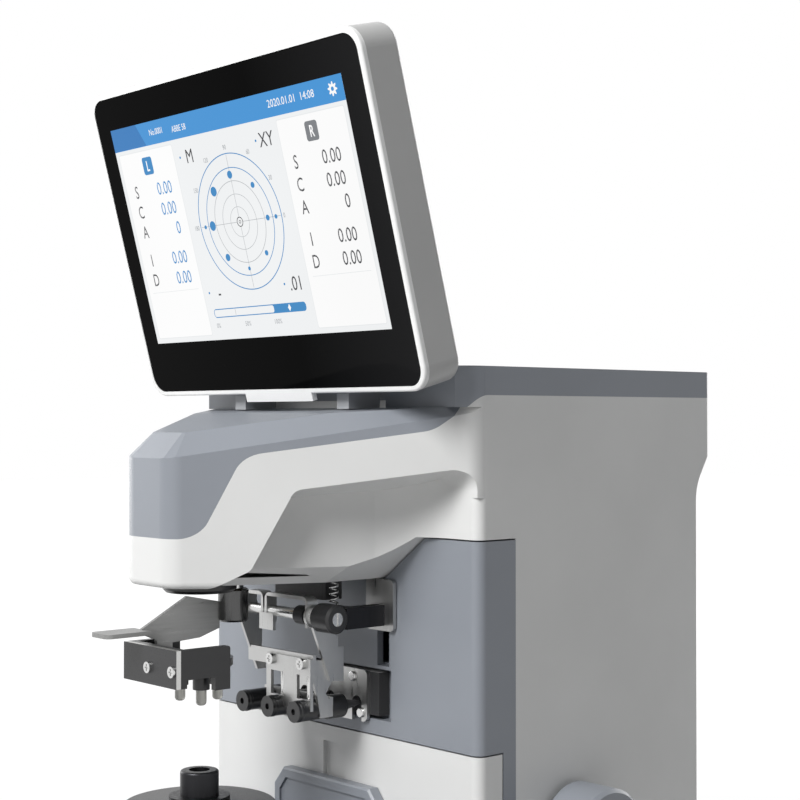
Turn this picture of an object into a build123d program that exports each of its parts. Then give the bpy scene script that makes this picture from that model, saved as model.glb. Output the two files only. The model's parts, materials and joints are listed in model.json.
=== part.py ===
from build123d import *
import math
import os

# Auto lensmeter: a column with a wedge-shaped head above a stage, and a tilting display on top.
# Millimetres. X is the width, with the user on the -Y side, and Z is up from the table.

os.makedirs("parts", exist_ok=True)

# Column and covers
wall = 3.0
seam = 0.6
column_width = 168.0
column_front = -12.25
column_rear = 116.0
column_crown_rear = 123.7
crown_low = 248.5
crown_high = 261.0
crown_fillet = 20.0
deck_top = 296.7
band_low = 285.9
side_wrap = 19.5
cover_wrap = 12.4

# Feet and base
foot_height = 4.0
foot_radius = 11.0
base_thickness = 10.0
base_front = -122.25
base_front_half = 36.0
base_shoulder_y = -50.0

# Head
optical_y = -77.75
head_front = -101.5
head_front_half = 14.0
head_nose_radius = 11.0
head_root_radius = 10.0
head_bottom = 215.0
head_root_y = -12.8
core_half_front = 19.6
core_half_rear = 50.5
core_front_y = -84.0
core_corner_radius = 8.0
core_edge_bevel = 6.5
bulb_rear = -90.5
bulb_knee = (-77.8, 221.7)
bulb_shoulder = (-65.2, 251.0)
recess_middle = (-40.0, 255.1)
recess_corner = (column_front, 259.6)
recess_root_z = 248.0
recess_radius = 4.0
recess_rear_radius = 7.5
top_front_z = 270.2
top_knee_y = -50.0
top_knee_z = 279.3
bevel_front_z = 262.6
bevel_rise = 0.19
bulb_round = 2.4
column_round = 2.5
front_round = 4.0
deck_front = -19.25
deck_floor_z = 281.4
flare_start = (42.1, -31.6)
flare_middle = (53.9, -17.5)
flare_end = 71.6
soffit_point = (38.5, -40.0, 249.0)
soffit_rise = 0.26
soffit_fall = 0.047
soffit_low = 236.0

# Stage
stage_front = -112.0
stage_front_half = 24.0
stage_half = 80.0
stage_shoulder_y = -42.0
stage_deck_z = 110.0
stage_deck_thickness = 3.0
disc_radius = 30.0
disc_top = 132.0
nosepiece_radius = 7.3
nosepiece_top = 144.4
nosepiece_bore = 4.0

# Front panel and ink pad
panel_low = 153.0
panel_high = 232.3
panel_high_half = 54.8
panel_slope_half = 30.9
pocket_half = 35.2
pocket_low = 159.0
pocket_high = 179.0
pocket_depth = 5.0
pocket_rim = 2.0

# Display and its hinge
hinge_y = -22.25
hinge_z = 295.0
display_lean = 15.0
display_width = 177.4
display_height = 130.0
display_corner = 9.0
display_below_hinge = 3.2
display_back_n = 1.95
display_front_n = 20.15
back_cover_thickness = 3.05
rim_depth = 2.25
rim_width = 2.1
glass_thickness = 1.4
screen_width = 152.4
screen_height = 91.4
screen_low_u = 20.1
tab_half = 21.5
tab_drop = 2.9
ear_centre = 33.3
ear_width = 7.2
ear_radius = 5.0
hinge_pin_radius = 1.6
knuckle_width = 9.6
knuckle_radius = 4.2
running_gap = 0.05
side_gap = 0.3
free_gap = 0.9

# Lens holder
holder_front = -100.0
holder_rear = -76.3
holder_half = 18.0
holder_top = 193.0
holder_low = 182.0
holder_wall = 2.6
rear_post_depth = 6.7
tip_circle = 8.2
tip_low = 170.0
tip_radius = 2.0
boss_radius = 3.2
boss_low = 176.0
plunger_x = -8.3
plunger_y = -56.3
plunger_radius = 4.0
barrel_radius = 6.0
barrel_low = 198.0
barrel_high = 211.0
holder_arm_thickness = 1.6

# Marking unit
shaft_y = -40.0
shaft_z = 201.2
shaft_radius = 2.2
shaft_left = -19.7
knob_left = 25.6
knob_right = 36.6
knob_radius = 5.5
pen_pitch = 16.7
pen_z = 164.5
pen_radius = 4.1
pen_front = -46.0
pen_neck_radius = 3.4
nib_tip_y = -13.2
marker_travel = 15.0
spring_x = 21.7
spring_y = -30.0
spring_radius = 1.65
spring_wire = 0.8
spring_turns = 4
spring_seat = 0.02
lift_guide_x = 30.5
lift_guide_y = 7.0
lift_guide_radius = 3.0

# Lens table and its drive
table_half_top = 27.5
table_half = 33.6
table_top = 132.5
table_chamfer = 7.1
table_thickness = 5.0
table_front = -17.6
knob_y = 36.9
knob_z = 118.8
table_knob_radius = 18.8
table_knob_depth = 20.0
knob_clearance = 1.6
gear_module = 1.25
gear_teeth = 14
backlash = 0.35

# Hidden pieces and openings
tube_radius = 9.0
tube_bore = 7.5
tube_length = 37.0
ring_radius = 14.0
ring_low = 211.8
bush_radius = 7.0
bush_top = 236.0
shaft_bush_radius = 7.0
rear_panel_half = 62.0
rear_panel_low = 22.0
rear_panel_high = 118.0
vent_z = 175.0
vent_width = 2.4
vent_height = 50.0
vent_places = [-28.0, -21.0, -14.0, -7.0, 0.0, 7.0, 14.0, 21.0, 28.0]
hinge_pocket_half = 40.0
lift_slot_half = 3.6
lift_slot_room = 1.2
notch_half = 7.0
notch_low = 100.0
notch_through = 126.0
notch_top = 146.0
notch_recess = 1.8
barrel_bore = 10.0
barrel_foot = 62.0
plate_thickness = 1.0
imaging_lens_z = 96.0
nosepiece_flange = 3.0
nosepiece_flange_radius = 11.5

plate_depth = 2.0
front_wall_low = 179.0
bridge_low = 184.0
bridge_high = 187.0
bridge_radius = 12.6
light_hole = 5.2
holder_screw_places = [-0.6, 15.4]
holder_screw_z = 185.2
plunger_top = 266.0
holder_arm_x = -10.6
tab_left = -16.0
tab_right = -3.5
tab_front = -116.0
plate_left = -21.2
plate_right = 22.4
sheet = 1.4
cross_front = -41.0
cross_left = -7.2
cross_height = 20.0
web_z = (180.0, 186.0)
strip_front = -31.5
strip_back = -29.8
slot_half = 4.2
slot_rise = 4.2
slot_height = 9.3
hoop_depth = 5.0
hoop_top = 208.6
hoop_split = -7.5
clip_x = (-9.0, 0.0)
clip_z = (194.0, 200.6)
flange_rear = -22.5
marker_screw_places = [(-3.8, 182.4), (15.7, 182.4)]
eye_left = 13.0
eye_right = 19.0
eye_radius = 3.6
bar_front = -33.2
bar_rear = -26.8
bar_half = 3.0
carriage_drop = 4.65
carriage_rise = 3.35
slide_x = (22.4, 38.7)
slide_z = (194.5, 214.6)
slide_gap = 0.4
slide_thickness = 1.6
guide_low = 160.0
guide_high = 232.0
guard_x = (-13.0, 19.0)
guard_y = (-33.0, -23.0)
guard_low = 206.6
pad_half = 28.6
pad_low = 160.5
pad_high = 177.5
ink_plate_half = 23.0
ink_plate_low = 157.5
ink_plate_high = 178.0
nib_hole = 2.9
groove_inset = 4.0
arm_half = 5.0
arm_end = 24.0
arm_top = 118.0
rack_start = 20.0
rack_end = 76.0
rack_low = 100.0
rack_teeth = 12
rack_lead = 2.0
guide_half = 12.0
guide_start = 6.0
guide_end = 80.0
guide_top = 104.0
table_shaft_radius = 4.0
gear_half = 4.5
inlet_x = 40.0
switch_x = 10.0
socket_z = 50.0
switch_depth = 4.0
port_places = [-46.0, -24.0]
port_half = 8.0
spine_front = 56.0
spine_top = 262.0


def block(x, y, z, mode=Mode.ADD):
    """A box between two values on each axis."""
    centre = (sum(x) / 2, sum(y) / 2, sum(z) / 2)
    with Locations(centre):
        Box(x[1] - x[0], y[1] - y[0], z[1] - z[0], mode=mode)


def rod_up(x, y, z, radius, mode=Mode.ADD):
    """A round rod along Z between two heights."""
    with Locations((x, y, sum(z) / 2)):
        Cylinder(radius, z[1] - z[0], mode=mode)


def rod_across(x, y, z, radius, mode=Mode.ADD):
    """A round rod along X between two values."""
    with Locations((sum(x) / 2, y, z)):
        Cylinder(radius, x[1] - x[0], rotation=(0, 90, 0), mode=mode)


def rod_back(x, y, z, radius, mode=Mode.ADD):
    """A round rod along Y between two values."""
    with Locations((x, sum(y) / 2, z)):
        Cylinder(radius, y[1] - y[0], rotation=(90, 0, 0), mode=mode)


def side_slab(outline, x, mode=Mode.ADD):
    """A slab whose (Y, Z) outline runs between two X values."""
    with BuildSketch(Plane.YZ.offset(x[0])) as face:
        with BuildLine():
            Polyline(*outline, close=True)
        make_face()
    extrude(face.sketch, amount=x[1] - x[0], mode=mode)


def front_slab(outline, y, mode=Mode.ADD):
    """A slab whose (X, Z) outline runs between two Y values."""
    with BuildSketch(Plane.XZ.offset(-y[1])) as face:
        with BuildLine():
            Polyline(*outline, close=True)
        make_face()
    extrude(face.sketch, amount=y[1] - y[0], mode=mode)


def plan_slab(outline, z, corners=None, mode=Mode.ADD):
    """A slab whose (X, Y) outline runs between two heights, with chosen corners rounded."""
    with BuildSketch(Plane.XY.offset(z[0])) as face:
        with BuildLine():
            Polyline(*outline, close=True)
        make_face()
        for rank in sorted(corners or {}, reverse=True):
            fillet(face.vertices().group_by(Axis.Y)[rank], corners[rank])
    extrude(face.sketch, amount=z[1] - z[0], mode=mode)


def finish(builder, name):
    """Label a finished piece and write it."""
    builder.part.label = name
    export_step(builder.part, f"parts/{name}.step")


half = column_width / 2
inner_half = half - wall
base_top = foot_height + base_thickness
deck_low = stage_deck_z - stage_deck_thickness
inner_front = column_front + wall
lean = Location((0, hinge_y, hinge_z), (display_lean, 0, 0))
tube_top = head_bottom + tube_length
carriage_low = shaft_z - carriage_drop
carriage_top = shaft_z + carriage_rise
lift_slot_low = carriage_low - marker_travel - lift_slot_room
lift_slot_high = carriage_top + lift_slot_room
slot_low = pen_z + slot_rise
slot_high = slot_low + slot_height
cross_top = pen_z + cross_height
knob_outer = half + knob_clearance + table_knob_depth
switch_pivot_y = column_rear - switch_depth
neck_low_line = [(panel_slope_half, head_bottom), (panel_high_half, panel_high)]

# Base plate
base_plan = [
    (-base_front_half, base_front),
    (base_front_half, base_front),
    (half, base_shoulder_y),
    (half, column_rear),
    (-half, column_rear),
    (-half, base_shoulder_y),
]
with BuildPart() as base_plate:
    plan_slab(base_plan, (foot_height, base_top), {0: 24.0, 1: 30.0, 2: 6.0})
    chamfer(base_plate.faces().sort_by(Axis.Z)[0].edges(), 2.0)
finish(base_plate, "base_plate")

# Four rubber feet
foot_places = [(x, y) for x in (-60.0, 60.0) for y in (-62.0, 96.0)]
with BuildPart() as feet:
    with Locations([(x, y, foot_height / 2) for x, y in foot_places]):
        Cylinder(foot_radius, foot_height)
    chamfer(feet.faces().filter_by(Axis.Z).group_by(Axis.Z)[0].edges(), 1.0)
finish(feet, "feet")

# Outlines that the head and its covers share
head_plan = [
    (-head_front_half, head_front),
    (head_front_half, head_front),
    (half, head_root_y),
    (half, inner_front),
    (-half, inner_front),
    (-half, head_root_y),
]
head_rounds = {0: head_nose_radius, 1: head_root_radius}
core_plan = [
    (-core_half_front, core_front_y),
    (core_half_front, core_front_y),
    (core_half_rear, head_root_y),
    (core_half_rear, column_front),
    (-core_half_rear, column_front),
    (-core_half_rear, head_root_y),
]
crown_profile = [
    (column_front, base_top),
    (column_rear, base_top),
    (column_rear, crown_low),
    (column_crown_rear, crown_high),
    (column_crown_rear, deck_top),
    (column_front, deck_top),
]


def head_side(face_low, top_drop, front):
    """The head's side outline: a bulb in front, a recess under the wedge, and the sloping top."""
    with BuildSketch(Plane.YZ) as face:
        with BuildLine():
            Polyline(
                (column_front, recess_root_z),
                (inner_front, recess_root_z),
                (inner_front, deck_floor_z - top_drop),
                (deck_front, deck_floor_z - top_drop),
                (top_knee_y, top_knee_z - top_drop),
                (front, top_front_z - top_drop),
                (front, face_low),
                (bulb_rear, face_low),
            )
            FilletPolyline(
                (bulb_rear, face_low), bulb_knee, bulb_shoulder, recess_middle, radius=recess_radius
            )
            FilletPolyline(
                recess_middle, recess_corner, (column_front, recess_root_z), radius=recess_rear_radius
            )
        make_face()
    return face.sketch


side_turn = math.degrees(math.atan2(head_root_y - head_front, half - head_front_half))


def bevel_plane(turn):
    """The plane that bevels the head's top, from one side (-1) round the nose (0) to the other (1)."""
    angle = math.radians(turn * side_turn)
    out_x = math.sin(angle)
    out_y = -math.cos(angle)
    reach = head_nose_radius * math.tan(math.radians(side_turn) / 2)
    centre_x = math.copysign(head_front_half - reach, turn) if turn else 0.0
    point_x = centre_x + head_nose_radius * out_x
    point_y = head_front + head_nose_radius + head_nose_radius * out_y
    point_z = bevel_front_z + bevel_rise * (point_y - head_front)
    along = Vector(-out_y, out_x, bevel_rise * out_x)
    inward = Vector(-out_x, -out_y, 1.0)
    return Plane(origin=(point_x, point_y, point_z), x_dir=along, z_dir=along.cross(inward))


def neck_relief(rise):
    """Cut away what lies below the neck's two sloping foot lines, raised by a given height."""
    for side in (-1, 1):
        for_side = [(side * x, z + rise) for x, z in neck_low_line]
        outer = side * (half + 1)
        start = [(side * panel_slope_half, head_bottom - 5)]
        stop = [(outer, panel_high + rise), (outer, head_bottom - 5)]
        front_slab(start + for_side + stop, (core_front_y, inner_front + 1), mode=Mode.SUBTRACT)


# Head, solid
with BuildPart() as head_block:
    plan_slab(head_plan, (head_bottom, deck_top), head_rounds)
    fillet(head_block.faces().sort_by(Axis.Z)[0].edges(), bulb_round)
    extrude(head_side(head_bottom - 1, 0.0, head_front - 1), amount=half, both=True, mode=Mode.INTERSECT)
    for turn in (-1.0, -0.5, 0.0, 0.5, 1.0):
        split(bisect_by=bevel_plane(turn), keep=Keep.BOTTOM)

# Core of the neck, solid, with its lower edge bevelled
with BuildPart() as core_block:
    plan_slab(core_plan, (head_bottom, recess_corner[1]), {0: core_corner_radius})
    low_edges = core_block.faces().sort_by(Axis.Z)[0].edges()
    chamfer(low_edges.filter_by(lambda e: e.center().Y < head_root_y), core_edge_bevel)
    for side in (-1, 1):
        with BuildSketch(Plane.XY.offset(head_bottom)) as flare:
            with BuildLine():
                start = (side * flare_start[0], flare_start[1])
                stop = (side * flare_end, column_front)
                ThreePointArc(start, (side * flare_middle[0], flare_middle[1]), stop)
                Polyline(stop, (0, column_front), (0, flare_start[1]), start)
            make_face()
        extrude(flare.sketch, amount=recess_corner[1] - head_bottom)
    neck_relief(0)

# Sloping underside of the head's two wings
with BuildPart() as head_soffit:
    plan_slab(head_plan, (soffit_low, recess_corner[1]), head_rounds)
    for side in (-1, 1):
        place = (side * soffit_point[0], soffit_point[1], soffit_point[2])
        split(bisect_by=Plane(origin=place, z_dir=(-side * soffit_rise, soffit_fall, 1)), keep=Keep.TOP)

# Region of the slate top cover
cover_line = [
    (-110.0, 233.3),
    (-92.5, 233.3),
    (-80.0, 263.6),
    (-25.4, 272.85),
    (-10.7, band_low),
    (130.0, band_low),
]
with BuildPart() as cover_region:
    with BuildSketch(Plane.YZ.offset(-half - 1)) as region_face:
        with BuildLine():
            FilletPolyline(*cover_line, radius=10.0)
            Polyline(cover_line[-1], (130.0, 320.0), (-110.0, 320.0), cover_line[0])
        make_face()
    extrude(region_face.sketch, amount=column_width + 2)

# Raised deck in front of the column, within the head's outline
with BuildPart() as raised_deck:
    plan_slab(head_plan, (deck_floor_z, deck_top), head_rounds)
    block(
        (-half - 1, half + 1),
        (head_front - 1, deck_front),
        (deck_floor_z - 1, deck_top + 1),
        Mode.SUBTRACT,
    )

# Whole outer shell of the column and the head
with BuildPart() as outer_shell:
    side_slab(crown_profile, (-half, half))
    cross_edges = outer_shell.edges().filter_by(Axis.X)
    fillet(cross_edges.filter_by(lambda e: abs(e.center().Z - crown_low) < 1), crown_fillet)
    side_edges = outer_shell.edges().filter_by(lambda e: abs(e.center().X) > inner_half)
    rear_corners = side_edges.filter_by(lambda e: e.center().Y > 80.0)
    fillet(rear_corners.filter_by(lambda e: abs(e.tangent_at(0.5).Y) < 0.95), column_round)
    front_corners = outer_shell.edges().filter_by(Axis.Z).filter_by(lambda e: e.center().Y < 0)
    fillet(front_corners, front_round)
    add(head_block.part)
    add(core_block.part)
    add(head_soffit.part)
    add(raised_deck.part)

# Cavities inside the column and the head
with BuildPart() as inner_space:
    head_space = [
        (-core_half_front + 6.0, head_front + wall),
        (core_half_front - 6.0, head_front + wall),
        (core_half_rear - 2 * wall, head_root_y),
        (core_half_rear - 2 * wall, inner_front),
        (-core_half_rear + 2 * wall, inner_front),
        (-core_half_rear + 2 * wall, head_root_y),
    ]
    plan_slab(head_space, (head_bottom + wall, deck_floor_z - wall))
    neck_relief(1.5 * wall)
with BuildPart() as roof_space:
    roof_line = [
        (head_front, head_bottom),
        (inner_front + 30.0, head_bottom),
        (inner_front + 30.0, deck_top),
        (inner_front, deck_top),
        (inner_front, deck_floor_z - wall),
        (deck_front, deck_floor_z - wall),
        (top_knee_y, top_knee_z - wall),
        (head_front, bevel_front_z),
    ]
    side_slab(roof_line, (-half, half))
    add(inner_space.part, mode=Mode.INTERSECT)
with BuildPart() as column_space:
    block((-inner_half, inner_half), (inner_front, column_rear - wall), (base_top - 1.0, band_low - 2.0))
    block(
        (-inner_half, inner_half),
        (inner_front + 6.0, column_crown_rear - wall),
        (crown_high, deck_top - wall),
    )

panel_outline = [
    (-half - 1, panel_low),
    (half + 1, panel_low),
    (half + 1, panel_high),
    (panel_high_half, panel_high),
    (panel_slope_half, head_bottom),
    (-panel_slope_half, head_bottom),
    (-panel_high_half, panel_high),
    (-half - 1, panel_high),
]

# White main housing: what the shell leaves below the slate cover and beside the front panels
with BuildPart() as main_housing:
    add(outer_shell.part)
    add(cover_region.part, mode=Mode.SUBTRACT)
    add(roof_space.part, mode=Mode.SUBTRACT)
    add(column_space.part, mode=Mode.SUBTRACT)
    wrap_end = column_front + side_wrap
    front_slab(panel_outline, (column_front - 0.01, wrap_end), mode=Mode.SUBTRACT)
    block(
        (-half - 1, half + 1),
        (column_front - 0.01, wrap_end),
        (base_top - 1, panel_low),
        Mode.SUBTRACT,
    )
    # Openings under the head: the light window and the two guide bushes of the lens holder
    rod_up(0, optical_y, (head_bottom - 1, head_bottom + 2 * wall), tube_radius, Mode.SUBTRACT)
    rod_up(plunger_x, plunger_y, (head_bottom - 1, head_bottom + 2 * wall), bush_radius, Mode.SUBTRACT)
    # Holes for the table shaft's bushes, and the opening of the rear panel
    rod_across((-half - 1, half + 1), knob_y, knob_z, shaft_bush_radius, Mode.SUBTRACT)
    block(
        (-rear_panel_half, rear_panel_half),
        (column_rear - wall - 1, column_rear + 1),
        (rear_panel_low, rear_panel_high),
        Mode.SUBTRACT,
    )
    with Locations([(x, column_rear, vent_z) for x in vent_places]):
        Box(vent_width, 4 * wall, vent_height, mode=Mode.SUBTRACT)
finish(main_housing, "main_housing")

# Slate top cover with the raised deck, and the pocket in its front for the hinge
with BuildPart() as top_cover:
    add(outer_shell.part)
    add(cover_region.part, mode=Mode.INTERSECT)
    add(roof_space.part, mode=Mode.SUBTRACT)
    add(column_space.part, mode=Mode.SUBTRACT)
    block(
        (-hinge_pocket_half, hinge_pocket_half),
        (deck_front - 1, column_front),
        (deck_floor_z, deck_top + 1),
        Mode.SUBTRACT,
    )
finish(top_cover, "top_cover")

# Slate front panel, wrapping round both sides and running down beside the lower cover
with BuildPart() as front_panel:
    block((-half, half), (column_front, column_front + side_wrap), (panel_low, panel_high - seam))
    block(
        (-half, half),
        (column_front + cover_wrap + seam, column_front + side_wrap),
        (base_top, panel_low),
    )
    block(
        (-inner_half, inner_half),
        (inner_front, column_front + side_wrap + 1),
        (base_top - 1, panel_high + 1),
        Mode.SUBTRACT,
    )
    corner_edges = front_panel.edges().filter_by(Axis.Z)
    fillet(corner_edges.filter_by(lambda e: e.center().Y < column_front + 0.5), front_round)
    pocket_back = column_front + pocket_depth
    block(
        (-pocket_half - wall, pocket_half + wall),
        (inner_front, pocket_back + wall),
        (pocket_low - pocket_rim, pocket_high + pocket_rim),
    )
    block(
        (-pocket_half, pocket_half),
        (column_front - 1, pocket_back),
        (pocket_low, pocket_high),
        Mode.SUBTRACT,
    )
    slope_drop = [
        (-panel_high_half, panel_high + 1),
        (-panel_high_half, panel_high - seam),
        (-panel_slope_half, head_bottom - seam),
        (panel_slope_half, head_bottom - seam),
        (panel_high_half, panel_high - seam),
        (panel_high_half, panel_high + 1),
    ]
    front_slab(slope_drop, (column_front - 1, inner_front + 1), mode=Mode.SUBTRACT)
    block(
        (lift_guide_x - lift_slot_half, lift_guide_x + lift_slot_half),
        (column_front - 1, inner_front + 1),
        (lift_slot_low, lift_slot_high),
        Mode.SUBTRACT,
    )
finish(front_panel, "front_panel")

# White lower front cover with the notch for the lens table's arm
with BuildPart() as lower_front_cover:
    cover_top = panel_low - seam
    block((-half, half), (column_front, column_front + cover_wrap), (base_top, cover_top))
    block(
        (-inner_half, inner_half),
        (inner_front, column_front + cover_wrap + 1),
        (base_top - 1, cover_top + 1),
        Mode.SUBTRACT,
    )
    corner_edges = lower_front_cover.edges().filter_by(Axis.Z)
    fillet(corner_edges.filter_by(lambda e: e.center().Y < column_front + 0.5), front_round)
    notch = (-notch_half, notch_half)
    block(notch, (column_front - 1, inner_front + 1), (notch_low, notch_through), Mode.SUBTRACT)
    block(notch, (column_front - 1, column_front + notch_recess), (notch_low, notch_top), Mode.SUBTRACT)
finish(lower_front_cover, "lower_front_cover")

# Stage housing under the lens, open below, and its slate deck
stage_plan = [
    (-stage_front_half, stage_front),
    (stage_front_half, stage_front),
    (stage_half, stage_shoulder_y),
    (stage_half, column_front),
    (-stage_half, column_front),
    (-stage_half, stage_shoulder_y),
]
with BuildPart() as stage_housing:
    plan_slab(stage_plan, (base_top, deck_low), {0: 14.0, 1: 12.0})
    flat_faces = stage_housing.faces().sort_by(Axis.Z)
    offset(amount=-wall, openings=[flat_faces[0], flat_faces[-1]])
finish(stage_housing, "stage_housing")

with BuildPart() as stage_deck:
    plan_slab(stage_plan, (deck_low, stage_deck_z), {0: 14.0, 1: 12.0})
    deck_edges = stage_deck.faces().sort_by(Axis.Z)[-1].edges()
    chamfer(deck_edges.filter_by(lambda e: e.center().Y < column_front - 1), 1.0)
    rod_up(0, optical_y, (deck_low - 1, stage_deck_z + 1), barrel_bore, Mode.SUBTRACT)
finish(stage_deck, "stage_deck")

# Black stage disc and lens stop
with BuildPart() as stage_disc:
    rod_up(0, optical_y, (stage_deck_z, disc_top), disc_radius)
    chamfer(stage_disc.faces().sort_by(Axis.Z)[-1].edges(), 1.6)
    rod_up(0, optical_y, (stage_deck_z - 1, disc_top + 1), barrel_bore, Mode.SUBTRACT)
finish(stage_disc, "stage_disc")

with BuildPart() as nosepiece:
    rod_up(0, optical_y, (disc_top, disc_top + nosepiece_flange), nosepiece_flange_radius)
    rod_up(0, optical_y, (disc_top, nosepiece_top), nosepiece_radius)
    fillet(nosepiece.faces().sort_by(Axis.Z)[-1].edges(), 1.0)
    rod_up(0, optical_y, (disc_top - 1, nosepiece_top + 1), nosepiece_bore, Mode.SUBTRACT)
finish(nosepiece, "nosepiece")

# Imaging barrel with its holed end, its lens and its sensor board, under the lens stop
with BuildPart() as imaging_barrel:
    rod_up(0, optical_y, (barrel_foot, disc_top), barrel_bore)
    rod_up(0, optical_y, (barrel_foot - 1, disc_top - plate_thickness), barrel_bore - 2.0, Mode.SUBTRACT)
    with Locations((0, optical_y, disc_top)):
        with PolarLocations(2.4, 4):
            Cylinder(0.6, 4 * plate_thickness, mode=Mode.SUBTRACT)
finish(imaging_barrel, "imaging_barrel")

with BuildPart() as imaging_lens:
    rod_up(0, optical_y, (imaging_lens_z, imaging_lens_z + 5), barrel_bore - 2.0)
finish(imaging_lens, "imaging_lens")

with BuildPart() as sensor_board:
    block((-16, 16), (optical_y - 16, optical_y + 16), (barrel_foot - 1.6, barrel_foot))
    block((-4, 4), (optical_y - 4, optical_y + 4), (barrel_foot, barrel_foot + 1.2))
    for x in (-12.5, 12.5):
        for y in (optical_y - 12.5, optical_y + 12.5):
            rod_up(x, y, (base_top, barrel_foot - 1.6), 2.5)
finish(sensor_board, "sensor_board")

# Light source in the head: black ring, window, collimator tube with its lens, light board
with BuildPart() as light_ring:
    rod_up(0, optical_y, (ring_low, head_bottom), ring_radius)
    chamfer(light_ring.faces().sort_by(Axis.Z)[0].edges(), 1.2)
    rod_up(0, optical_y, (ring_low - 1, head_bottom + 1), tube_radius, Mode.SUBTRACT)
finish(light_ring, "light_ring")

with BuildPart() as window_glass:
    rod_up(0, optical_y, (ring_low + 2.0, ring_low + 4.0), tube_radius)
finish(window_glass, "window_glass")

with BuildPart() as collimator_tube:
    rod_up(0, optical_y, (ring_low + 4.0, tube_top), tube_radius)
    rod_up(0, optical_y, (ring_low + 3.0, tube_top + 1), tube_bore, Mode.SUBTRACT)
finish(collimator_tube, "collimator_tube")

with BuildPart() as light_board:
    rod_up(0, optical_y, (tube_top, tube_top + 1.6), tube_radius)
    block((-1.5, 1.5), (optical_y - 1.5, optical_y + 1.5), (tube_top - 1.2, tube_top))
finish(light_board, "light_board")

# Hinge brackets and pins of the display
ear_profile = [
    (-35.0, deck_floor_z - 0.5),
    (-35.0, 286.8),
    (-26.0, 288.8),
    (hinge_y - 3.0, hinge_z - 4.0),
    (hinge_y + 3.5, hinge_z - 4.0),
    (deck_front - 0.4, deck_floor_z - 0.5),
]
with BuildPart() as hinge_brackets:
    for side in (-1, 1):
        ear = (side * ear_centre - ear_width / 2, side * ear_centre + ear_width / 2)
        side_slab(ear_profile, ear)
        rod_across(ear, hinge_y, hinge_z, ear_radius)
    add(top_cover.part, mode=Mode.SUBTRACT)
    pin_length = (-ear_centre - ear_width, ear_centre + ear_width)
    rod_across(pin_length, hinge_y, hinge_z, hinge_pin_radius, Mode.SUBTRACT)
finish(hinge_brackets, "hinge_brackets")

knuckle_inner = ear_centre - ear_width / 2 - side_gap - knuckle_width
knuckle_outer = ear_centre - ear_width / 2 - side_gap
with BuildPart() as hinge_pins:
    for side in (-1, 1):
        ends = sorted((side * knuckle_inner, side * (ear_centre + ear_width / 2 + 1.2)))
        rod_across(ends, hinge_y, hinge_z, hinge_pin_radius)
finish(hinge_pins, "hinge_pins")

# Display, drawn upright about the hinge axis and then leaned forward
shell_front = rim_depth - display_front_n
cover_front = -display_back_n - back_cover_thickness
low_u = -display_below_hinge
high_u = display_height - display_below_hinge


def display_slab(inset, y, mode=Mode.ADD):
    """A slab of the display's rounded outline, drawn inwards by an inset, between two depths."""
    centre_u = (low_u + high_u) / 2
    with BuildSketch(Plane.XZ.offset(-y[1])) as face:
        with Locations((0, centre_u)):
            RectangleRounded(display_width - 2 * inset, display_height - 2 * inset, display_corner - inset)
    extrude(face.sketch, amount=y[1] - y[0], mode=mode)


def ear_pockets(radius):
    """Room round the two ears of the hinge brackets."""
    for side in (-1, 1):
        centre = side * ear_centre
        reach = ear_width / 2 + side_gap
        rod_across((centre - reach, centre + reach), 0, 0, radius, Mode.SUBTRACT)


with BuildPart() as display_rim:
    display_slab(0, (-display_front_n, shell_front))
    fillet(display_rim.faces().sort_by(Axis.Y)[0].edges(), 0.9)
    block((-tab_half, tab_half), (-display_front_n, shell_front), (low_u - tab_drop, low_u + 1))
    display_slab(rim_width, (-display_front_n - 1, shell_front + 1), Mode.SUBTRACT)

with BuildPart() as display_glass:
    display_slab(rim_width, (-display_front_n + 0.3, -display_front_n + 0.3 + glass_thickness))

with BuildPart() as display_shell:
    display_slab(0, (shell_front, cover_front))
    display_slab(wall, (shell_front - 1, cover_front + 1), Mode.SUBTRACT)
    ear_pockets(ear_radius + free_gap)

with BuildPart() as display_back_cover:
    display_slab(0, (cover_front, -display_back_n))
    fillet(display_back_cover.faces().sort_by(Axis.Y)[-1].edges(), 2.2)
    for side in (-1, 1):
        ends = sorted((side * knuckle_inner, side * knuckle_outer))
        rod_across(ends, 0, 0, knuckle_radius)
        block(ends, (cover_front, 0), (low_u, knuckle_radius))
        rod_across(ends, 0, 0, hinge_pin_radius + running_gap, Mode.SUBTRACT)
    block(
        (-knuckle_outer - 1, knuckle_outer + 1),
        (cover_front - 9, cover_front),
        (-9, 9),
        Mode.SUBTRACT,
    )
    ear_pockets(ear_radius + free_gap)
    for side in (-1, 1):
        pin_end = sorted((side * (knuckle_outer + 0.01), side * (ear_centre + ear_width / 2 + 2.0)))
        rod_across(pin_end, 0, 0, hinge_pin_radius + 0.6, Mode.SUBTRACT)

glass_back = -display_front_n + 0.3 + glass_thickness
with BuildPart() as screen_module:
    screen_x = (-screen_width / 2 - wall, screen_width / 2 + wall)
    screen_u = (screen_low_u - wall, screen_low_u + screen_height + wall)
    block(screen_x, (glass_back, glass_back + 3.2), screen_u)

with BuildPart() as display_board:
    board_y = (cover_front - 4.0, cover_front - 2.4)
    block((-50, 50), board_y, (30, 92))
    block((-12, 12), (board_y[0] - 1.4, board_y[0]), (50, 74))
    block((26, 40), (board_y[0] - 1.0, board_y[0]), (42, 52))
    for x in (-44, 44):
        for u in (36, 86):
            rod_back(x, (board_y[1], cover_front), u, 2.6)

display_pieces = {
    "display_rim": display_rim,
    "display_glass": display_glass,
    "display_shell": display_shell,
    "display_back_cover": display_back_cover,
    "screen_module": screen_module,
    "display_board": display_board,
}
for name, builder in display_pieces.items():
    placed = lean * builder.part
    placed.label = name
    export_step(placed, f"parts/{name}.step")

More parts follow.
